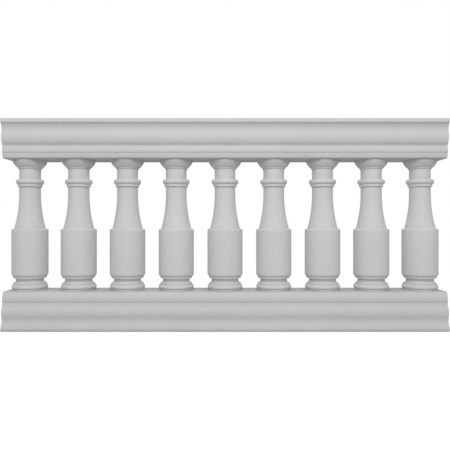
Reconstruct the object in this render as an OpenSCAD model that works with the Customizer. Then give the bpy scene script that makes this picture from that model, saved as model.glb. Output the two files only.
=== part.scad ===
// A straight bay of classical balustrade: a moulded bottom rail, nine turned balusters
// bedded in mortar, and a moulded coping rail. Millimetres, +Z up. X runs along the rails,
// -Y is the front, and the origin is the middle of the underside.

/* [Bay] */
// Length of both rails
rail_length = 2000; // [1960:1:2040]
// Width of both rails over their widest faces
rail_width = 222; // [216:1:240]
// Clear height between the rails
clear_height = 600; // [590:1:640]
// Middle of an end baluster to the end of the rails
end_margin = 94; // [88:1:110]

/* [Coping rail] */
// Height of the coping rail
coping_height = 176; // [173:1:181]
// Height of its plain face at the top
coping_fillet = 18; // [16.5:0.5:21]
// Height from the top to the foot of its wave moulding
coping_wave = 114.5; // [112:0.5:116]
// Height from the top to the foot of the plain band under the wave
coping_band = 125.5; // [123:0.5:127]
// How far the plain band stands back from the face
coping_band_back = 22.2; // [21.5:0.1:23]
// Height from the top to the fullest line of the bead
coping_bead_at = 141; // [140:0.5:142]
// Height from the top to the foot of the bead
coping_bead = 151; // [149.5:0.5:152]
// How far the bead stands back from the face
coping_bead_back = 19.1; // [18.5:0.1:19.8]
// Radius of the bead over its fullest line
coping_bead_r = 36; // [34:1:40]
// Radius of the bead under its fullest line
coping_bead_low_r = 18; // [16:1:22]
// Height of the groove under the bead
groove_h = 2; // [1.5:0.1:3]
// Depth of the groove behind the rail's face
groove_back = 23.4; // [23:0.1:25]
// How far the skirt under the groove would stand back at the bead's fullest line
skirt_back = 21.3; // [21:0.1:22]
// Radius of the skirt's slow curve
skirt_r = 100; // [90:1:120]
// Height of the splay between the skirt and the soffit
splay_h = 3.3; // [2.5:0.1:4]
// How far the splay runs back under the coping
splay_run = 7.5; // [6:0.5:9]

/* [Bottom rail] */
// Height of the bottom rail
base_height = 176; // [173:1:181]
// Height of the rounded edge of its foot
base_edge = 9; // [8:0.5:11]
// Radius of the rounded edge of its foot
base_edge_r = 13; // [12:0.5:17]
// Height of its plain foot
base_fillet = 17; // [16.5:0.5:19]
// Height from the ground to the head of its wave moulding
base_wave = 113; // [111:0.5:115]
// Height from the ground to the head of the sloping band over the wave
base_band = 125; // [123:0.5:127]
// How far the foot of the sloping band stands back from the face
base_band_back = 20.4; // [20:0.1:21]
// Radius of the sloping band's curve
base_band_r = 28; // [26:1:34]
// Height from the ground to the fullest line of the top roll
base_roll_at = 141; // [139:0.5:143]
// How far the top roll stands back from the foot's face
base_roll_back = 19.5; // [18.5:0.1:20]
// Radius of the top roll over its fullest line
base_roll_r = 54; // [50:1:60]
// Radius of the top roll under its fullest line
base_roll_low_r = 34; // [32:1:40]

/* [Wave moulding] */
// Outer face of a rail to the deepest line of the hollow
hollow_at = 49; // [48:0.5:50]
// Depth of the hollow behind the rail's face
hollow_back = 14.4; // [13.5:0.1:15.5]
// Outer face of a rail to the fullest line of the swell
swell_at = 81; // [79:0.5:83]
// Depth of the swell behind the rail's face
swell_back = 9; // [8.5:0.1:9.8]
// Radius of the swell
swell_r = 54; // [50:1:58]

/* [Mortar beds] */
// Thickness of the mortar under and over a baluster
bed_thick = 3; // [2.5:0.5:6]
// How far the mortar stands back from the edge of the stone
bed_rake = 1; // [0.5:0.5:3]

/* [Baluster foot] */
// Diameter of the disc under the foot roll
plinth_d = 156; // [152:1:160]
// Height of that disc
plinth_h = 4.5; // [4:0.5:6]
// Diameter at the bottom of the quirk over the disc
quirk_d = 148; // [142:1:150]
// Height of the quirk
quirk_h = 2; // [1.5:0.1:3]
// Diameter of the foot roll
foot_d = 162; // [158:1:166]
// Height of the foot roll
foot_h = 18.5; // [17:0.5:19]
// Height of the roll's fullest line over the quirk
foot_full = 6.5; // [6:0.5:8]
// Radius of the foot roll
foot_r = 12.5; // [12:0.5:14]
// Diameter of the lip over the foot roll
lip_d = 148.6; // [146:0.2:152]
// Height of the lip
lip_h = 5; // [4:0.5:7]
// Diameter at the deepest line of the hollow
waist_d = 123; // [118:1:128]
// Height of the hollow
waist_h = 22.5; // [21:0.5:24]
// Height of the hollow over its deepest line
waist_top = 9; // [8:0.5:10]
// Diameter of the band under the drum
band_d = 147.6; // [144:0.2:150]
// Height of the band
band_h = 9; // [7:0.5:11]

/* [Baluster drum and shaft] */
// Diameter of the drum
drum_d = 163; // [158:1:168]
// Height of the drum
drum_h = 218.5; // [200:0.5:225]
// Radius of the drum's lower edge
drum_foot_r = 12; // [11:0.5:13]
// Radius of the drum's upper edge
drum_head_r = 8; // [6:0.5:9]
// Diameter of the shaft where it meets the drum
shaft_d = 140; // [134:1:144]
// Height of the shaft's curve above the drum
shaft_h = 161; // [150:1:165]
// Diameter of the neck
neck_d = 96; // [92:1:100]

/* [Baluster collar and capital] */
// Diameter of the collar's flat band
ring_d = 109; // [106:1:112]
// Height of the collar's flat band
ring_h = 11; // [9:0.5:12]
// Diameter of the collar's bead
bead_d = 125.4; // [120:0.2:128]
// Height of the collar's bead
bead_h = 24; // [20:0.5:25]
// Plain neck between the collar and the capital
neck_h = 43; // [40:1:46]
// Height of the hollow under the capital
cove_h = 5.5; // [5:0.5:6]
// Diameter of the step over that hollow
step_d = 107; // [106:1:109]
// Height of the step
step_h = 5; // [4:0.5:6]
// Diameter of the capital at its underside
cap_foot_d = 111; // [110:1:114]
// Diameter of the capital at its top
cap_d = 154; // [150:1:157]
// Height of the capital
cap_h = 32; // [30:0.5:33]
// How far the capital swells past a straight cone
cap_swell = 3.4; // [2.5:0.1:4]

/* [Hidden] */
$fn = 96;
stone = [0.82, 0.82, 0.82];
mortar = [0.72, 0.72, 0.72];
balusters = 9;
half_w = rail_width / 2;
pitch = (rail_length - 2 * end_margin) / (balusters - 1);
total_height = base_height + clear_height + coping_height;
baluster_h = clear_height - 2 * bed_thick;

// Rolls and rounded edges are cut just short of a full half or quarter round.
roll_ease = 0.2;
edge_ease = 1;

// The hollow's radius that lets it run smoothly into the swell, with a touch of overlap.
wave_touch = 0.05;
wave_reach = swell_r - wave_touch;
wave_offset = swell_back - hollow_back + swell_r;
wave_rise = swell_at - hollow_at;
hollow_r = (wave_offset ^ 2 + wave_rise ^ 2 - wave_reach ^ 2) / (2 * (wave_reach - wave_offset));
wave_turn = (hollow_at * swell_r + swell_at * hollow_r) / (hollow_r + swell_r);

// The level and width at which the coping's skirt turns under.
skirt_foot = coping_height - splay_h;
skirt_drop = skirt_foot - coping_bead_at;
skirt_out = half_w - skirt_back - skirt_r + sqrt(skirt_r ^ 2 - skirt_drop ^ 2);

// Levels up the baluster, from the underside of its foot.
foot_z = plinth_h + quirk_h;
lip_z = foot_z + foot_h;
waist_z = lip_z + lip_h;
band_z = waist_z + waist_h;
drum_z = band_z + band_h;
shaft_z = drum_z + drum_h;
neck_z = shaft_z + shaft_h;
cap_z = baluster_h - cap_h;
step_z = cap_z - step_h;
cove_z = step_z - cove_h;
bead_z = cove_z - neck_h - bead_h;
ring_z = bead_z - ring_h;

// Radii of the baluster's arcs.
bead_r = bead_h / 2 + roll_ease;
waist_low = waist_h - waist_top;
lip_reach = (lip_d - waist_d) / 2;
waist_r = round((waist_low ^ 2 + lip_reach ^ 2) / (2 * lip_reach) * 100) / 100;
shaft_flare = (shaft_d - neck_d) / 2;
shaft_r = round((shaft_h ^ 2 + shaft_flare ^ 2) / (2 * shaft_flare) * 100) / 100;
cap_run = (cap_d - cap_foot_d) / 2;
cap_chord = sqrt(cap_run ^ 2 + cap_h ^ 2);
cap_r = (cap_chord ^ 2 / 4 + cap_swell ^ 2) / (2 * cap_swell);
cap_mid = [(cap_d + cap_foot_d) / 4, cap_z + cap_h / 2];
cap_centre = cap_mid - (cap_r - cap_swell) * [cap_h, -cap_run] / cap_chord;

// A plain layer of a half section, from the middle line out to a width.
module layer(out, from, to)
    translate([0, from])
        square([out, to - from]);

// A layer that swells to a width on an arc of a radius, whose middle is at a level.
module swelled(out, from, to, at, r) {
    if (out > r) layer(out - r, from, to);
    intersection() {
        layer(out, from, to);
        translate([out - r, at])
            circle(r);
    }
}

// A layer hollowed to a width by an arc of a radius, whose middle is at a level.
module hollowed(out, in, from, to, at, r)
    difference() {
        layer(out, from, to);
        translate([in + r, at])
            circle(r);
    }

// The wave moulding of a rail's half section, measured from the rail's outer face.
module wave(from, to)
    difference() {
        union() {
            layer(half_w, from, wave_turn);
            swelled(half_w - swell_back, wave_turn, to, swell_at, swell_r);
        }
        translate([half_w - hollow_back + hollow_r, hollow_at])
            circle(hollow_r);
    }

// The wedge that is splayed off the lower edge of the coping's skirt.
module splay() {
    outer = skirt_out + splay_run;
    inner = skirt_out - 2 * splay_run;
    polygon([[inner, coping_height + splay_h], [outer, skirt_foot - splay_h], [outer, coping_height + splay_h]]);
}

// Half of the coping rail's section, measured down from its top.
module coping_half() {
    bead_out = half_w - coping_bead_back;
    layer(half_w, 0, coping_fillet);
    wave(coping_fillet, coping_wave);
    layer(half_w - coping_band_back, coping_wave, coping_band);
    swelled(bead_out, coping_band, coping_bead_at, coping_bead_at, coping_bead_r);
    swelled(bead_out, coping_bead_at, coping_bead, coping_bead_at, coping_bead_low_r);
    layer(half_w - groove_back, coping_bead, coping_bead + groove_h);
    difference() {
        swelled(half_w - skirt_back, coping_bead + groove_h, coping_height, coping_bead_at, skirt_r);
        splay();
    }
}

// Half of the bottom rail's section, measured up from the ground.
module base_half() {
    roll_out = half_w - base_roll_back;
    swelled(half_w, 0, base_edge, base_edge, base_edge_r);
    layer(half_w, base_edge, base_fillet);
    wave(base_fillet, base_wave);
    swelled(half_w - base_band_back, base_wave, base_band, base_wave, base_band_r);
    swelled(roll_out, base_band, base_roll_at, base_roll_at, base_roll_low_r);
    swelled(roll_out, base_roll_at, base_height, base_roll_at, base_roll_r);
}

// A half section mirrored and run along the length of the bay.
module run()
    rotate([90, 0, 90])
        linear_extrude(rail_length, center = true) {
            children();
            mirror([1, 0])
                children();
        }

// The turned profile of a baluster, from its axis out and from its foot up.
module turning() {
    drum_low = drum_z + drum_foot_r - edge_ease;
    drum_top = shaft_z - drum_head_r + roll_ease;
    waist_mid = waist_z + waist_low;
    layer(plinth_d / 2, 0, plinth_h);
    layer(quirk_d / 2, plinth_h, foot_z);
    swelled(foot_d / 2, foot_z, lip_z, foot_z + foot_full, foot_r);
    layer(lip_d / 2, lip_z, waist_z);
    hollowed(lip_d / 2, waist_d / 2, waist_z, waist_mid, waist_mid, waist_r);
    hollowed(waist_d / 2 + waist_top, waist_d / 2, waist_mid, band_z, waist_mid, waist_top);
    layer(band_d / 2, band_z, drum_z);
    swelled(drum_d / 2, drum_z, drum_low, drum_low, drum_foot_r);
    layer(drum_d / 2, drum_low, drum_top);
    swelled(drum_d / 2, drum_top, shaft_z, drum_top, drum_head_r);
    hollowed(drum_d / 2, neck_d / 2, shaft_z, neck_z, neck_z, shaft_r);
    layer(neck_d / 2, neck_z, cove_z);
    layer(ring_d / 2, ring_z, bead_z);
    swelled(bead_d / 2, bead_z, bead_z + bead_h, bead_z + bead_h / 2, bead_r);
    hollowed(neck_d / 2 + cove_h, neck_d / 2, cove_z, step_z, cove_z, cove_h);
    layer(step_d / 2, step_z, cap_z);
    layer(cap_foot_d / 2, cap_z, baluster_h);
    intersection() {
        layer(cap_d / 2 + cap_swell, cap_z, baluster_h);
        translate(cap_centre)
            circle(cap_r);
    }
}

// Puts a piece on the axis of one baluster, at a height above the bottom rail.
module on_axis(i, height)
    translate([(i - (balusters + 1) / 2) * pitch, 0, base_height + height])
        children();

module bottom_rail()
    color(stone)
        run()
            base_half();

module top_rail()
    color(stone)
        translate([0, 0, total_height])
            mirror([0, 0, 1])
                run()
                    coping_half();

module baluster(i)
    color(stone)
        on_axis(i, bed_thick)
            rotate_extrude()
                turning();

module lower_bed(i)
    color(mortar)
        on_axis(i, 0)
            cylinder(d = plinth_d - 2 * bed_rake, h = bed_thick);

module upper_bed(i)
    color(mortar)
        on_axis(i, clear_height - bed_thick)
            cylinder(d = cap_d - 2 * bed_rake, h = bed_thick);

bottom_rail();
top_rail();
for (i = [1 : balusters]) {
    baluster(i);
    lower_bed(i);
    upper_bed(i);
}
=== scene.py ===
# %% [markdown]
# # A bay of cast-stone balustrade
# A balustrade is a row of turned balusters standing between two long moulded rails.
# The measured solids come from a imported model, and this file gives them their looks.
# Each cell makes one thing, and prints what it made. Lengths are in metres, and Z is up.

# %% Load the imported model
import math

import bpy
import numpy as np
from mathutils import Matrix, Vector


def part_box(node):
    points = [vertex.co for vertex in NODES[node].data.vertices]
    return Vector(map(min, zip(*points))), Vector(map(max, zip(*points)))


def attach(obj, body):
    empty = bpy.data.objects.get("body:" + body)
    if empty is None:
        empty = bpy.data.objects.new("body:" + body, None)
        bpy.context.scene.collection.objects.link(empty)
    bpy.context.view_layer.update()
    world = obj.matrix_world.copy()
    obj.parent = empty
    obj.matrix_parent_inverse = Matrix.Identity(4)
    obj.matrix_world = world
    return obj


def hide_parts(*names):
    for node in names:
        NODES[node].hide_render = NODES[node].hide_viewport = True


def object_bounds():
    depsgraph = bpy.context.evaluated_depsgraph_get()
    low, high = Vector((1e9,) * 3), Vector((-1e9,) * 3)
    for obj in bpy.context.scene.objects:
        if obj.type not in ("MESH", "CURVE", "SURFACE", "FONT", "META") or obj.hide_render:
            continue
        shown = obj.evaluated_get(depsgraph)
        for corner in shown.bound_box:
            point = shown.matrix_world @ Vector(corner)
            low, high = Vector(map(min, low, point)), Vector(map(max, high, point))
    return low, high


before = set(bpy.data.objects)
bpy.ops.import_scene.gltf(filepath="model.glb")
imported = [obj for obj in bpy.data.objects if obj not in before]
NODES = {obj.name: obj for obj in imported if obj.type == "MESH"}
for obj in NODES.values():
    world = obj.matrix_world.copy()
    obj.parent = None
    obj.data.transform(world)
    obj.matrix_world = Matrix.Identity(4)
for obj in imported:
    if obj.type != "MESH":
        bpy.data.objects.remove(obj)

cad_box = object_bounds()
print("packed nodes:", len(NODES), "box:", [[round(c, 4) for c in corner] for corner in cad_box])

# %% [markdown]
# ## The camera
# The photograph looks at the middle of the bay, square to its front, so the rails run level
# and the two ends are alike. The lens opens 45 degrees. Such a lens sees the underside of
# the coping and the top of the bottom rail, and both show as thin strips in the photograph.
# The distance follows from the length of the rails, which just fills the frame.

# %% Stand the camera in front of the bay
scene = bpy.context.scene
scene.view_settings.view_transform = "Standard"
IMAGE_PIXELS = 450
RAIL_PIXELS = 449.8
LENS_DEGREES = 45
FRONT = cad_box[0][1]
RAIL_LENGTH = cad_box[1][0] - cad_box[0][0]
MID_HEIGHT = cad_box[1][2] / 2

lens = bpy.data.cameras.new("photo_lens")
lens.angle = math.radians(LENS_DEGREES)
pixels_per_slope = IMAGE_PIXELS / 2 / math.tan(lens.angle / 2)
distance = RAIL_LENGTH * pixels_per_slope / RAIL_PIXELS

camera = bpy.data.objects.new("photo_camera", lens)
camera.location = (0, FRONT - distance, MID_HEIGHT)
camera.rotation_euler = (math.pi / 2, 0, 0)
scene.collection.objects.link(camera)
scene.camera = camera
print("camera", round(distance, 4), "m before the rails, at", [round(c, 4) for c in camera.location])

# %% [markdown]
# ## Shader nodes by name
# Materials here are built in code. A few small helpers keep that readable: one adds a node and
# fills in its settings and sockets, one joins two sockets, one does a sum in a Math node, and
# one stretches a span of values onto another in a Map Range node. They could be left out, but
# then every node would take five lines and the recipe would be hard to see. Every colour here
# is a neutral grey, so a colour is written as one level.


# %% Helpers that add and join shader nodes
def grey(level):
    return (level, level, level, 1)


def add_node(tree, kind, sockets=(), **settings):
    made = tree.nodes.new(kind)
    for name, value in settings.items():
        setattr(made, name, value)
    for name, value in dict(sockets).items():
        made.inputs[name].default_value = value
    return made


def join(tree, out, into):
    tree.links.new(out, into)


def work_out(tree, operation, *terms):
    made = add_node(tree, "ShaderNodeMath", operation=operation)
    for socket, term in zip(made.inputs, terms):
        if isinstance(term, float):
            socket.default_value = term
        else:
            join(tree, term, socket)
    return made.outputs[0]


def stretch(tree, source, span, onto=(0.0, 1.0)):
    ends = {"From Min": span[0], "From Max": span[1], "To Min": onto[0], "To Max": onto[1]}
    made = add_node(tree, "ShaderNodeMapRange", ends)
    join(tree, source, made.inputs["Value"])
    return made.outputs["Result"]


print("shader helpers:", [helper.__name__ for helper in (grey, add_node, join, work_out, stretch)])

# %% [markdown]
# ## The floor
# The photograph has a plain white ground. The floor is one big sheet. The camera sees it
# almost white by its own glow, plus a little plain paint that still takes the soft shadow of
# the bay. The light that bounces off it is that of a duller floor, because the undersides
# of the mouldings are rather dark in the photograph. The Light Path node tells the two apart.

# %% Lay the floor
FLOOR_GLOW = 0.935
FLOOR_PAINT = 0.115
FLOOR_BOUNCE = 0.6
FLOOR_REACH = 40


def seen_directly(tree):
    path = add_node(tree, "ShaderNodeLightPath").outputs
    mirrored = work_out(tree, "MAXIMUM", path["Is Glossy Ray"], path["Is Transmission Ray"])
    return work_out(tree, "MAXIMUM", path["Is Camera Ray"], mirrored)


def show_apart(tree, output, for_light, for_eyes):
    choose = add_node(tree, "ShaderNodeMixShader")
    join(tree, seen_directly(tree), choose.inputs[0])
    join(tree, for_light.outputs[0], choose.inputs[1])
    join(tree, for_eyes.outputs[0], choose.inputs[2])
    join(tree, choose.outputs[0], add_node(tree, output).inputs["Surface"])


floor_paint = bpy.data.materials.new("pale_floor")
floor_paint.use_nodes = True
tree = floor_paint.node_tree
tree.nodes.clear()
bounce = add_node(tree, "ShaderNodeBsdfDiffuse", {"Color": grey(FLOOR_BOUNCE)})
paint = add_node(tree, "ShaderNodeBsdfDiffuse", {"Color": grey(FLOOR_PAINT)})
glow = add_node(tree, "ShaderNodeEmission", {"Strength": FLOOR_GLOW})
glowing_paint = add_node(tree, "ShaderNodeAddShader")
join(tree, paint.outputs[0], glowing_paint.inputs[0])
join(tree, glow.outputs[0], glowing_paint.inputs[1])
show_apart(tree, "ShaderNodeOutputMaterial", for_light=bounce, for_eyes=glowing_paint)

corners = [(FLOOR_REACH * x, FLOOR_REACH * y, 0) for x, y in ((-1, -1), (1, -1), (1, 1), (-1, 1))]
sheet = bpy.data.meshes.new("floor")
sheet.from_pydata(corners, [], [(0, 1, 2, 3)])
sheet.materials.append(floor_paint)
floor = bpy.data.objects.new("floor", sheet)
scene.collection.objects.link(floor)
print("floor", 2 * FLOOR_REACH, "m square")

# %% [markdown]
# ## The light
# The stone in the photograph is lit softly from all round, as in a tent of white cloth, with
# one long lamp in front and above. The coping is a little brighter than the bottom rail, but
# both ends are as bright as the middle, so the lamp is twice as long as the bay and not far
# off. A weaker one behind lights the flanks of the balusters, and the back. The world gives
# the tent, the same from every side. The camera sees it as plain white.

# %% Light the bay
TENT_LIGHT = 0.57
LAMP_SIZE = (4.0, 0.8)
LAMPS = {"front_lamp": (46, (0, -2.0, 2.2)), "back_lamp": (17.5, (0, 2.4, 2.0))}

world = bpy.data.worlds.new("white_tent")
scene.world = world
world.use_nodes = True
tree = world.node_tree
tree.nodes.clear()
tent = add_node(tree, "ShaderNodeBackground", {"Color": grey(1), "Strength": TENT_LIGHT})
white = add_node(tree, "ShaderNodeBackground", {"Color": grey(1), "Strength": 1})
show_apart(tree, "ShaderNodeOutputWorld", for_light=tent, for_eyes=white)

for name, (watts, stand) in LAMPS.items():
    lamp = bpy.data.lights.new(name, "AREA")
    lamp.shape = "RECTANGLE"
    lamp.size, lamp.size_y = LAMP_SIZE
    lamp.energy = watts
    lamp_stand = bpy.data.objects.new(name, lamp)
    lamp_stand.location = stand
    lamp_stand.rotation_euler = (math.atan2(-stand[1], stand[2] - MID_HEIGHT), 0, 0)
    scene.collection.objects.link(lamp_stand)
print("tent light", TENT_LIGHT, "and lamps of", [watts for watts, stand in LAMPS.values()], "W")

# %% [markdown]
# ## Reading an outline off a solid
# A baluster is turned: one outline, spun about an axis. A rail is run: one section, pushed
# along a line. So the measured solid holds only one outline that matters, and the rest
# follows. For a rail it lies on the end face, and half of it will do, because the back is the
# front seen in a mirror. For a baluster it lies on the half plane where the spin begins. A
# triangle with just two corners on that plane has one edge of the outline.

# %% Walk along the edges that lie on a plane
DIGITS_KEPT = 6
ON_PLANE = 1e-6


def outline_on_plane(node, on_plane, flat):
    mesh = NODES[node].data
    spots = [tuple(round(c, DIGITS_KEPT) for c in corner.co) for corner in mesh.vertices]
    onward = {}
    for face in mesh.polygons:
        held = {spots[i] for i in face.vertices if on_plane(spots[i])}
        if len(held) == 2:
            one, other = held
            onward.setdefault(one, set()).add(other)
            onward.setdefault(other, set()).add(one)
    path = [min(onward, key=lambda spot: (len(onward[spot]), spot[2], spot[1], spot[0]))]
    while onward[path[-1]]:
        step = min(onward[path[-1]])
        onward[path[-1]].discard(step)
        onward[step].discard(path[-1])
        path.append(step)
    return np.array([flat(spot) for spot in path])


def read_turning(node):
    low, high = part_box(node)
    axis = (low[0] + high[0]) / 2
    return outline_on_plane(
        node,
        on_plane=lambda spot: abs(spot[1]) < ON_PLANE and spot[0] > axis,
        flat=lambda spot: (spot[0] - axis, spot[2]),
    )


def read_half_section(node):
    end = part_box(node)[1][0]
    loop = outline_on_plane(
        node,
        on_plane=lambda spot: abs(spot[0] - end) < ON_PLANE,
        flat=lambda spot: (spot[1], spot[2]),
    )
    turn = np.sum(loop[:-1, 0] * loop[1:, 1] - loop[1:, 0] * loop[:-1, 1])
    half = [spot for spot in (loop if turn > 0 else loop[::-1]) if spot[0] > 0]
    return np.array([(0, half[0][1]), *half, (0, half[-1][1])])


turning = read_turning("baluster_1")
coping_half = read_half_section("top_rail")
base_half = read_half_section("bottom_rail")
print("points: baluster", len(turning), "coping", len(coping_half), "bottom rail", len(base_half))

# %% [markdown]
# ## Drawing the curves fair again
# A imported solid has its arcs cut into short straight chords. Followed closely they would show
# as flats in the shading. Here a smooth curve is drawn through the chord ends. It breaks
# where the outline turns sharply, which is a true arris, and it stays straight where one
# chord is much longer than the next, which is a true flat. It never leaves the measured box.

# %% A fair curve through the chord ends
FINE_STEP = 0.0004
SHARP_TURN = math.radians(25)
LONG_CHORD = 3
NO_LENGTH = 1e-12


def unit(vectors):
    return vectors / np.maximum(np.linalg.norm(vectors, axis=-1, keepdims=True), NO_LENGTH)


def chord_directions(run):
    chords = np.diff(run, axis=0)
    length = np.linalg.norm(chords, axis=1)
    ways = unit(chords)
    headings = np.zeros_like(run)
    for i in range(1, len(run) - 1):
        before, after = length[i - 1], length[i]
        if before > LONG_CHORD * after:
            headings[i] = ways[i - 1]
        elif after > LONG_CHORD * before:
            headings[i] = ways[i]
        else:
            headings[i] = (ways[i - 1] * after + ways[i] * before) / (before + after)
    headings[0] = ways[0] if len(run) == 2 else 2 * ways[0] - headings[1]
    headings[-1] = ways[-1] if len(run) == 2 else 2 * ways[-1] - headings[-2]
    return unit(headings), length


def fair_run(run):
    headings, length = chord_directions(run)
    drawn = []
    for i, span in enumerate(length):
        t = np.linspace(0, 1, max(int(span / FINE_STEP), 1), endpoint=False)[:, None]
        leave = 2 * t**3 - 3 * t**2 + 1
        leave_pull = t**3 - 2 * t**2 + t
        reach = 3 * t**2 - 2 * t**3
        reach_pull = t**3 - t**2
        drawn.append(
            leave * run[i] + leave_pull * span * headings[i]
            + reach * run[i + 1] + reach_pull * span * headings[i + 1]
        )
    return np.concatenate(drawn)


def fair_outline(path):
    ways = unit(np.diff(path, axis=0))
    turns = np.arccos(np.clip(np.sum(ways[:-1] * ways[1:], axis=1), -1, 1))
    arrises = [i + 1 for i, turn in enumerate(turns) if turn > SHARP_TURN]
    starts, ends = [0] + arrises, arrises + [len(path) - 1]
    runs = [fair_run(path[start:end + 1]) for start, end in zip(starts, ends)]
    drawn = np.clip(np.concatenate(runs + [path[-1:]]), path.min(axis=0), path.max(axis=0))
    along = np.concatenate([[0], np.cumsum(np.linalg.norm(np.diff(drawn, axis=0), axis=1))])
    even = np.linspace(0, along[-1], int(along[-1] / FINE_STEP) + 1)
    print("  ", len(arrises), "arrises along", round(along[-1], 4), "m of outline")
    return np.stack([np.interp(even, along, drawn[:, way]) for way in (0, 1)], axis=1)


fair_turning = fair_outline(turning)
fair_coping = fair_outline(coping_half)
fair_base = fair_outline(base_half)

# %% [markdown]
# ## Rubbing the arrises
# Stone out of a mould never has knife edges. Its arrises are a millimetre or so round, and
# its inner corners hold a trace of slurry. A bevel modifier would round each edge alike.
# Blurring the outline along its own length does the same and also closes the sharp inner
# corners a little, as slurry does. Wide curves hardly change. The blur weighs each point's
# neighbours by a bell curve, which is as good as nothing beyond four times its width.

# %% Round the corners of the three outlines
RUB = 0.0009
BELL_WIDTHS = 4


def rubbed(path, width):
    count = int(BELL_WIDTHS * width / FINE_STEP)
    weights = np.exp(-0.5 * (np.arange(-count, count + 1) * FINE_STEP / width) ** 2)
    weights = weights / weights.sum()
    before = 2 * path[0] - path[count:0:-1]
    after = 2 * path[-1] - path[-2:-count - 2:-1]
    longer = np.concatenate([before, path, after])
    return np.stack([np.convolve(longer[:, way], weights, "valid") for way in (0, 1)], axis=1)


soft_turning = rubbed(fair_turning, RUB)
soft_coping = rubbed(fair_coping, RUB)
soft_base = rubbed(fair_base, RUB)
print("deepest rub", round(1000 * np.abs(soft_turning - fair_turning).max(), 2), "mm")

# %% [markdown]
# ## Which way the surface faces, where it gets worn, and where shade is painted
# The outline also knows where the stone stands proud and where it falls back. A much wider
# blur cuts across arrises and bridges hollows. The gap between the two lines, measured along
# the surface's own direction, is then a ready mask: one way for rubbed arrises, the other
# way for hollows, which get some dust and painted shade. Faces turned up get painted shade too,
# and on a long rail even a slope does. Pointiness in a shader could give the first two, but it
# depends on how finely the mesh is cut.

# %% Facing, arris and hollow along an outline
WIDE = 0.005
ARRIS_FULL = 0.0007
HOLLOW_FULL = 0.0016


def outline_facts(path, ledge_from, hollow_share):
    ways = unit(np.gradient(path, axis=0))
    facing = np.stack([ways[:, 1], -ways[:, 0]], axis=1)
    bridge = np.sum((rubbed(path, WIDE) - path) * facing, axis=1)
    arris = np.clip(-bridge / ARRIS_FULL, 0, 1)
    # Hollows get painted shade with some dust, and faces turned up get painted shade.
    hollow = hollow_share * np.clip(bridge / HOLLOW_FULL, 0, 1)
    ledge = np.clip((facing[:, 1] - ledge_from) / (1 - ledge_from), 0, 1)
    return facing, arris, np.maximum(hollow, ledge)


print("full masks at", 1000 * ARRIS_FULL, "mm proud and", 1000 * HOLLOW_FULL, "mm deep")

# %% [markdown]
# ## Keeping only the points that matter
# The fair outline has thousands of points. Most lie on a straight line between others. The
# usual way to thin a line keeps the point that stands farthest off, and does the same again
# on both sides of it, until nothing stands off by more than a hair.

# %% Thin an outline
HAIR = 0.00002


def points_that_matter(path):
    last = len(path) - 1
    kept, spans = {0, last}, [(0, last)]
    while spans:
        start, end = spans.pop()
        if end - start < 2:
            continue
        chord = unit(path[end] - path[start])
        apart = path[start + 1:end] - path[start]
        off = np.abs(apart[:, 0] * chord[1] - apart[:, 1] * chord[0])
        if off.max() > HAIR:
            far = start + 1 + int(off.argmax())
            kept.add(far)
            spans += [(start, far), (far, end)]
    return np.array(sorted(kept))


def profile(path, ledge_from, hollow_share):
    facing, arris, hollow = outline_facts(path, ledge_from, hollow_share)
    kept = points_that_matter(path)
    return {"spot": path[kept], "facing": facing[kept], "arris": arris[kept], "hollow": hollow[kept]}


# The rails get painted shade on faces turned up past 0.4, and the bottom rail more painted shade in
# its hollows.
baluster_profile = profile(soft_turning, ledge_from=0.95, hollow_share=0.1)
coping_profile = profile(soft_coping, ledge_from=0.4, hollow_share=0.1)
base_profile = profile(soft_base, ledge_from=0.4, hollow_share=0.5)
kept_counts = [len(kind["spot"]) for kind in (baluster_profile, coping_profile, base_profile)]
print("points kept: baluster, coping, bottom rail", kept_counts)

# %% [markdown]
# ## One skin for turned and for run pieces
# A turned piece is a pile of circles. A run piece is a row of equal sections. Both are loops
# of points, one after another, so one helper can skin both: a quad between each pair of
# neighbours, and a lid on each end. It also hands the surface its exact facing, so that flats
# shade flat right up to a rounded arris, and stores the masks for the material to read.


# %% Skin a row of loops
def skin(name, loops, facings, marks, lids, lid_faces=None):
    rows, count = loops.shape[:2]
    last_row = (rows - 1) * count
    faces = []
    for row in range(0, last_row, count):
        above = row + count
        for here in range(count):
            beside = (here + 1) % count
            faces.append((row + here, row + beside, above + beside, above + here))
    towards = facings.reshape(-1, 3)
    corners = [towards[i] for face in faces for i in face]
    lid_faces = lid_faces or [tuple(range(count))]
    for lid, first, step in ((lids[0], 0, -1), (lids[1], last_row, 1)):
        faces += [tuple(first + i for i in face[::step]) for face in lid_faces]
        corners += [lid for face in lid_faces for _ in face]
    mesh = bpy.data.meshes.new(name)
    mesh.from_pydata(loops.reshape(-1, 3).tolist(), [], faces)
    mesh.polygons.foreach_set("use_smooth", [True] * len(faces))
    for mark, values in marks.items():
        spread = np.broadcast_to(values, (rows, count)).ravel()
        mesh.attributes.new(mark, "FLOAT", "POINT").data.foreach_set("value", spread)
    mesh.normals_split_custom_set(np.array(corners).tolist())
    piece = bpy.data.objects.new(name, mesh)
    scene.collection.objects.link(piece)
    return piece


print("pieces to skin:", len(NODES))

# %% [markdown]
# ## The nine balusters
# Each baluster is cast in a mould that was turned on a lathe: a foot roll, a hollow, a drum,
# a long waist curve, a collar and a capital. The Screw modifier could spin the outline. The
# skin above is used so that the exact facing and the masks go with it. A hundred and twenty
# steps round keep the outline round in a close view. Stones from one mould still differ a
# little in tone, so each gets its own, from a sine that looks like chance and is the same each
# time. The top of the capital, close under the coping, is painted darker as painted shade, and
# that fades out below.

# %% Turn the balusters
BALUSTERS = 9
STEPS_ROUND = 120
TONE_SPREAD = 0.006
TONE_STRIDE = 12.9898
TONE_START = 4.1
STAIN_REACH = 0.024
STAIN_FADE = 0.016
STAIN_SHARE = 0.7
UP = np.array([0, 0, 1.0])
pieces = {}


def tone_of(number):
    return 1 + TONE_SPREAD * math.sin(TONE_STRIDE * number + TONE_START)


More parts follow.
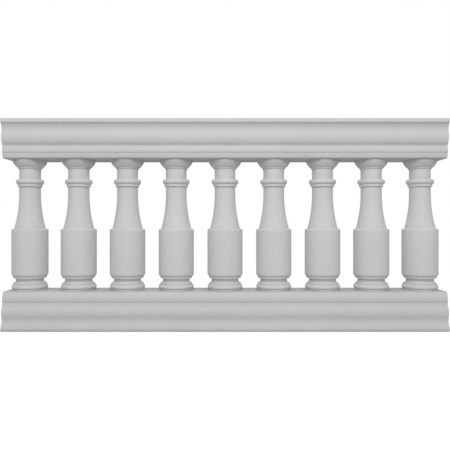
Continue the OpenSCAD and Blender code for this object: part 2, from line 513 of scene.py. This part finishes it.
def axis_of(node):
    low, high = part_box(node)
    return np.array([(low[0] + high[0]) / 2, (low[1] + high[1]) / 2, 0])


def angles_round(steps):
    return np.linspace(0, 2 * math.pi, steps, endpoint=False)


def spin(angles, outward, upward):
    ring = np.stack([np.cos(angles), np.sin(angles), np.zeros(len(angles))], axis=1)
    return outward[:, :, None] * ring + upward[:, None, None] * UP


def turn_baluster(node, number):
    angles = angles_round(STEPS_ROUND)
    spot, facing = baluster_profile["spot"], baluster_profile["facing"]
    loops = axis_of(node) + spin(angles, spot[:, :1], spot[:, 1])
    facings = spin(angles, facing[:, :1], facing[:, 1])
    # Painted shade: the capital's top is darkened close under the coping and fades out below.
    stain = STAIN_SHARE * np.clip((spot[:, 1] - spot[-1, 1] + STAIN_REACH) / STAIN_FADE, 0, 1)
    dusty = np.maximum(baluster_profile["hollow"], stain)
    worn = baluster_profile["arris"]
    marks = {"arris": worn[:, None], "hollow": dusty[:, None], "tone": tone_of(number)}
    return skin("stone_" + node, loops, facings, marks, (-UP, UP))


for number in range(1, BALUSTERS + 1):
    pieces[f"baluster_{number}"] = turn_baluster(f"baluster_{number}", number)
print("balusters turned, faces each:", len(pieces["baluster_1"].data.polygons))

# %% [markdown]
# ## The two rails
# A rail is run in a long mould, so one section goes from end to end. Only its two ends need
# care, because a plain cut would leave a knife edge there. The last millimetre or so is drawn
# in steps on a quarter circle, each a little smaller than the one before. The end face is
# closed with level strips from side to side. One large face would do on a simple section, but
# this one has hollows, and such a face may be cut into triangles that bridge them. The lowest
# edge of the bottom rail is painted darker, as painted shade near the ground. The underside of
# the coping is painted a little darker the more it faces down, as painted shade. Each rail has
# its own tone too, a little darker than the balusters, as painted shade for how the light falls.

# %% Run the rails
END_EASE = 0.0008
END_STEPS = 5
SPLASH_REACH = 0.011
SPLASH_FADE = 0.005
SPLASH_SHARE = 0.6
UNDER_FROM = 0.3
UNDER_SHARE = 0.5
# The rail tones are painted shade: each rail is darker than the balusters for how the light falls on
# it.
COPING_TONE = 0.938
BASE_TONE = 0.976
ALONG = np.array([1.0, 0, 0])
MIRROR = np.array([-1, 1])


def whole(half, flip=1):
    return np.concatenate([half[1:-1], half[-2:0:-1] * flip])


def run_rail(node, kind, tone):
    low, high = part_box(node)
    lean = np.linspace(0, math.pi / 2, END_STEPS)
    spot, facing = whole(kind["spot"], MIRROR), whole(kind["facing"], MIRROR)
    count = len(spot)
    loops, facings, ends = [], [], []
    for side, edge, leans in ((-1, low[0], lean[::-1]), (1, high[0], lean)):
        for angle in leans:
            shrunk = spot - END_EASE * (1 - math.cos(angle)) * facing
            place = edge - side * END_EASE * (1 - math.sin(angle))
            towards_end = np.full(count, side * math.sin(angle))
            loops.append(np.column_stack([np.full(count, place), shrunk]))
            facings.append(np.column_stack([towards_end, math.cos(angle) * facing]))
            ends.append(math.sin(angle))
    worn = np.maximum(whole(kind["arris"])[None, :], np.array(ends)[:, None])
    marks = {"arris": worn, "hollow": whole(kind["hollow"])[None, :], "tone": tone}
    strips = [(i, i + 1, count - 2 - i, count - 1 - i) for i in range(count // 2 - 1)]
    return skin("stone_" + node, np.array(loops), np.array(facings), marks, (-ALONG, ALONG), strips)


# Painted shade: the lowest edge of the bottom rail is darkened.
low_down = (SPLASH_REACH - base_profile["spot"][:, 1]) / SPLASH_FADE
splash = SPLASH_SHARE * np.clip(low_down, 0, 1)
base_profile["hollow"] = np.maximum(base_profile["hollow"], splash)
# Painted shade: the coping is darkened the more it faces down.
faces_down = (-coping_profile["facing"][:, 1] - UNDER_FROM) / (1 - UNDER_FROM)
under = UNDER_SHARE * np.clip(faces_down, 0, 1)
coping_profile["hollow"] = np.maximum(coping_profile["hollow"], under)
pieces["top_rail"] = run_rail("top_rail", coping_profile, COPING_TONE)
pieces["bottom_rail"] = run_rail("bottom_rail", base_profile, BASE_TONE)
print("rails run, faces:", [len(pieces[node].data.polygons) for node in ("top_rail", "bottom_rail")])

# %% [markdown]
# ## The mortar beds
# Under and over each baluster lies a few millimetres of mortar. Below, it is pointed almost
# flush with the stone, and the trowel leaves its edge a little hollow. Above, a finger has
# drawn it out to a small cove against the coping, which sheds water and leaves no dark gap. A
# plain disc would look machined, so a few slow and quick waves round the rim, different in
# each bed, pull it in by half a millimetre or so.

# %% Lay the mortar
BED_STEPS = 144
BED_ROWS = 9
BED_DUST = 0.3
RAKE = 0.0004
COVE = 0.005
RAGGED = 0.0006
RIM_WAVES = (2, 3, 7, 11, 19)
WAVE_STRIDE = 7.1
WAVE_SHIFT = 2.3
LOWER_FROM = 20
UPPER_FROM = 40


def raked_rim(height):
    share = np.linspace(0, 1, BED_ROWS)
    slope = RAKE * math.pi * np.cos(math.pi * share)
    towards = np.column_stack([np.full(BED_ROWS, height), slope])
    return share, -RAKE * np.sin(math.pi * share), unit(towards)


def coved_rim(height):
    sweep = np.linspace(0, math.pi / 2, BED_ROWS)
    towards = np.column_stack([height * np.cos(sweep), -COVE * np.sin(sweep)])
    return np.sin(sweep), COVE * (1 - np.cos(sweep)), unit(towards)


def ragged_edge(angles, number):
    waves = sum(
        math.sin(WAVE_STRIDE * number + turns) * np.sin(turns * angles + WAVE_SHIFT * number * turns)
        for turns in RIM_WAVES
    )
    return RAGGED * (waves - waves.min()) / np.ptp(waves)


def lay_bed(node, number, rim):
    low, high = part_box(node)
    radius = (high[0] - low[0]) / 2
    height = high[2] - low[2]
    share, outward, towards = rim(height)
    angles = angles_round(BED_STEPS)
    reach = radius - ragged_edge(angles, number)[None, :] + outward[:, None]
    loops = axis_of(node) + spin(angles, reach, low[2] + height * share)
    facings = spin(angles, towards[:, :1], towards[:, 1])
    marks = {"arris": 0.0, "hollow": BED_DUST, "tone": tone_of(number)}
    return skin("mortar_" + node, loops, facings, marks, (-UP, UP))


for number in range(1, BALUSTERS + 1):
    pieces[f"lower_bed_{number}"] = lay_bed(f"lower_bed_{number}", LOWER_FROM + number, raked_rim)
    pieces[f"upper_bed_{number}"] = lay_bed(f"upper_bed_{number}", UPPER_FROM + number, coved_rim)
print("beds laid:", sum("bed" in node for node in pieces))

# %% [markdown]
# ## Sand, clouds and pits
# Cast stone is sand, crushed stone and cement. From a step away it is even. Close to, it is a
# fine grain with paler and darker specks, slow clouds where the mix dried unevenly, and a few
# pinholes left by air against the mould. Mortar is the same with coarser sand. So this is a
# node group, placed in each finish with its own values. Two Noise textures give the grain and
# the clouds. The cells of two Voronoi textures give the specks and the pits: a cell's random
# colour decides whether it shows, and how wide a pit opens.

# %% The sand group
SPECK_SCALE = 0.8
DARK_SPECKS = (0.84, 0.9)
PALE_SPECKS = (0.82, 0.9)
PIT_CHANCE = (0.7, 1.0)
SMALLEST_PIT = 0.02
GRIT_HEIGHT = 0.3


def group_socket(group, name, side, kind="NodeSocketFloat"):
    return group.interface.new_socket(name=name, in_out=side, socket_type=kind)


def random_channels(group, cells):
    channels = add_node(group, "ShaderNodeSeparateColor")
    join(group, cells.outputs["Color"], channels.inputs[0])
    return channels.outputs


def make_sand_group():
    group = bpy.data.node_groups.new("sand_and_pits", "ShaderNodeTree")
    group_socket(group, "Place", "INPUT", "NodeSocketVector")
    for name in ("Grains per metre", "Pits per metre", "Pit size"):
        group_socket(group, name, "INPUT")
    for name in ("Grain", "Dark speck", "Pale speck", "Cloud", "Pit", "Height"):
        group_socket(group, name, "OUTPUT")
    given = add_node(group, "NodeGroupInput").outputs
    result = add_node(group, "NodeGroupOutput").inputs

    grain = add_node(group, "ShaderNodeTexNoise", {"Detail": 2.0, "Roughness": 0.6})
    cloud = add_node(group, "ShaderNodeTexNoise", {"Scale": 7.0, "Detail": 4.0, "Roughness": 0.55})
    specks = add_node(group, "ShaderNodeTexVoronoi", {"Randomness": 1.0})
    holes = add_node(group, "ShaderNodeTexVoronoi", {"Randomness": 1.0})
    for texture in (grain, cloud, specks, holes):
        join(group, given["Place"], texture.inputs["Vector"])
    speck_scale = work_out(group, "MULTIPLY", given["Grains per metre"], SPECK_SCALE)
    join(group, given["Grains per metre"], grain.inputs["Scale"])
    join(group, speck_scale, specks.inputs["Scale"])
    join(group, given["Pits per metre"], holes.inputs["Scale"])

    speck_chance = random_channels(group, specks)
    opening = stretch(group, random_channels(group, holes)["Red"], PIT_CHANCE)
    rim = work_out(group, "MULTIPLY", opening, given["Pit size"])
    sunk = {"To Min": 1.0, "To Max": 0.0}
    bowl = add_node(group, "ShaderNodeMapRange", sunk, interpolation_type="SMOOTHSTEP")
    join(group, holes.outputs["Distance"], bowl.inputs["Value"])
    join(group, rim, bowl.inputs["From Max"])
    is_open = work_out(group, "GREATER_THAN", opening, SMALLEST_PIT)
    pit = work_out(group, "MULTIPLY", bowl.outputs["Result"], is_open)
    grit = work_out(group, "MULTIPLY", grain.outputs["Fac"], GRIT_HEIGHT)

    join(group, grain.outputs["Fac"], result["Grain"])
    join(group, stretch(group, speck_chance["Red"], DARK_SPECKS), result["Dark speck"])
    join(group, stretch(group, speck_chance["Green"], PALE_SPECKS), result["Pale speck"])
    join(group, cloud.outputs["Fac"], result["Cloud"])
    join(group, pit, result["Pit"])
    join(group, work_out(group, "SUBTRACT", grit, pit), result["Height"])
    return group


sand_group = make_sand_group()
print("sand group:", len(sand_group.nodes), "nodes")

# %% [markdown]
# ## Rubbed arrises, and hollows with dust and painted shade
# Hands, weather and cleaning rub the arrises a little paler and smoother. The hollows are
# darkened by dust and by painted shade. The masks stored on the pieces say where. On their own
# they are too even to look real, so this group breaks them up with the grain and the clouds.


# %% The handling group
def make_handling_group():
    group = bpy.data.node_groups.new("rub_and_dust", "ShaderNodeTree")
    for name in ("Arris", "Hollow", "Cloud", "Grain"):
        group_socket(group, name, "INPUT")
    for name in ("Rubbed", "Dusty"):
        group_socket(group, name, "OUTPUT")
    given = add_node(group, "NodeGroupInput").outputs
    result = add_node(group, "NodeGroupOutput").inputs
    patchy = stretch(group, given["Cloud"], span=(0.35, 0.65), onto=(0.35, 1.0))
    gritty = stretch(group, given["Grain"], span=(0.35, 0.6), onto=(0.5, 1.0))
    settled = stretch(group, given["Cloud"], span=(0.3, 0.7), onto=(1.0, 0.55))
    broken = work_out(group, "MULTIPLY", patchy, gritty)
    join(group, work_out(group, "MULTIPLY", given["Arris"], broken), result["Rubbed"])
    # This output darkens with dust and with painted shade.
    join(group, work_out(group, "MULTIPLY", given["Hollow"], settled), result["Dusty"])
    return group


handling_group = make_handling_group()
print("handling group:", len(handling_group.nodes), "nodes")

# %% [markdown]
# ## A recipe for cast stone and mortar
# All finishes follow one recipe. Two tones of the mix are blended by the clouds. Specks of
# sand, pale arrises, dust with painted shade, and pits painted dark as painted shade are laid
# over that in turn, and the piece's own tone scales the sum. Roughness follows the grain and
# drops a little where the stone is rubbed.
# The grain and the pits also lift and sink the surface through a Bump node.

# %% A recipe for the finishes
# The Pit share is the painted shade that darkens each pinhole.
LAYER_SHARES = {"Dark speck": 0.25, "Pale speck": 0.28, "Rubbed": 0.1, "Dusty": 0.5, "Pit": 0.8}
MIDDLE_OF_NOISE = (0.3, 0.7)
RUB_SMOOTHS = -0.1
BUMP_STRENGTH = 0.6
STONE_GLOSS = 0.2


def lay_over(tree, below, level, mask, share):
    mix = add_node(tree, "ShaderNodeMix", data_type="RGBA")
    mix.inputs["B"].default_value = grey(level)
    join(tree, work_out(tree, "MULTIPLY", mask, share), mix.inputs["Factor"])
    join(tree, below, mix.inputs["A"])
    return mix.outputs["Result"]


def place_groups(tree, sand):
    place = add_node(tree, "ShaderNodeTexCoord")
    grit = add_node(tree, "ShaderNodeGroup", sand, node_tree=sand_group)
    worn = add_node(tree, "ShaderNodeGroup", node_tree=handling_group)
    join(tree, place.outputs["Object"], grit.inputs["Place"])
    for mask in ("Arris", "Hollow"):
        stored = add_node(tree, "ShaderNodeAttribute", attribute_name=mask.lower())
        join(tree, stored.outputs["Fac"], worn.inputs[mask])
    for texture in ("Cloud", "Grain"):
        join(tree, grit.outputs[texture], worn.inputs[texture])
    return {**dict(grit.outputs.items()), **dict(worn.outputs.items())}


def sandy_material(name, sand, rough, relief, tones, layers):
    material = bpy.data.materials.new(name)
    material.use_nodes = True
    tree = material.node_tree
    shader = tree.nodes["Principled BSDF"]
    shader.inputs["Specular IOR Level"].default_value = STONE_GLOSS
    masks = place_groups(tree, sand)

    body = add_node(tree, "ShaderNodeMix", data_type="RGBA")
    body.inputs["A"].default_value = grey(tones[0])
    body.inputs["B"].default_value = grey(tones[1])
    join(tree, stretch(tree, masks["Cloud"], MIDDLE_OF_NOISE), body.inputs["Factor"])
    colour = body.outputs["Result"]
    for layer, level in layers.items():
        colour = lay_over(tree, colour, level, masks[layer], LAYER_SHARES[layer])
    own_tone = add_node(tree, "ShaderNodeAttribute", attribute_name="tone")
    scaled = add_node(tree, "ShaderNodeHueSaturation")
    join(tree, own_tone.outputs["Fac"], scaled.inputs["Value"])
    join(tree, colour, scaled.inputs["Color"])
    join(tree, scaled.outputs["Color"], shader.inputs["Base Color"])

    dull = stretch(tree, masks["Grain"], MIDDLE_OF_NOISE, rough)
    smoothed = work_out(tree, "MULTIPLY_ADD", masks["Rubbed"], RUB_SMOOTHS, dull)
    join(tree, smoothed, shader.inputs["Roughness"])

    bump = add_node(tree, "ShaderNodeBump", {"Strength": BUMP_STRENGTH, "Distance": relief})
    join(tree, masks["Height"], bump.inputs["Height"])
    join(tree, bump.outputs["Normal"], shader.inputs["Normal"])
    return material


print("layers over the body and how much each shows:", LAYER_SHARES)

# %% [markdown]
# ## The three finishes
# The stone is a neutral grey of about 0.6, which is what the photograph shows in even light.
# The balusters are painted a hair paler than the rails, as painted light. The mortar is
# darker, coarser and rougher, with more and wider pits.

# %% Mix the finishes
STONE = {
    "sand": {"Grains per metre": 700.0, "Pits per metre": 55.0, "Pit size": 0.11},
    "rough": (0.82, 0.94),
    "relief": 0.0007,
}
MORTAR = {
    "sand": {"Grains per metre": 420.0, "Pits per metre": 160.0, "Pit size": 0.2},
    "rough": (0.88, 0.98),
    "relief": 0.0012,
}
run_stone = sandy_material(
    "run_cast_stone",
    **STONE,
    tones=(0.591, 0.609),
    layers={"Dark speck": 0.42, "Pale speck": 0.78, "Rubbed": 0.68, "Dusty": 0.3, "Pit": 0.3},
)
# The turned stone is painted a hair paler than the run stone, as painted light.
turned_stone = sandy_material(
    "turned_cast_stone",
    **STONE,
    tones=(0.603, 0.621),
    layers={"Dark speck": 0.44, "Pale speck": 0.8, "Rubbed": 0.7, "Dusty": 0.3, "Pit": 0.31},
)
bed_mortar = sandy_material(
    "raked_mortar",
    **MORTAR,
    tones=(0.52, 0.6),
    layers={"Dark speck": 0.36, "Pale speck": 0.72, "Rubbed": 0.6, "Dusty": 0.44, "Pit": 0.26},
)
print("finishes:", [finish.name for finish in (run_stone, turned_stone, bed_mortar)])

# %% [markdown]
# ## Setting the pieces in the bay
# Each dressed piece stands for one measured solid, in the same place. The solid is hidden but
# stays for weight and contact. Nothing on a balustrade moves, so all ride on the one body.

# %% Dress and seat every piece
for node, piece in pieces.items():
    mortar = "bed" in node
    stone = turned_stone if node.startswith("baluster") else run_stone
    piece.data.materials.append(bed_mortar if mortar else stone)
    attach(piece, "root")
    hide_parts(node)
triangles = sum(len(face.vertices) - 2 for piece in pieces.values() for face in piece.data.polygons)
print("pieces:", len(pieces), "triangles:", triangles)
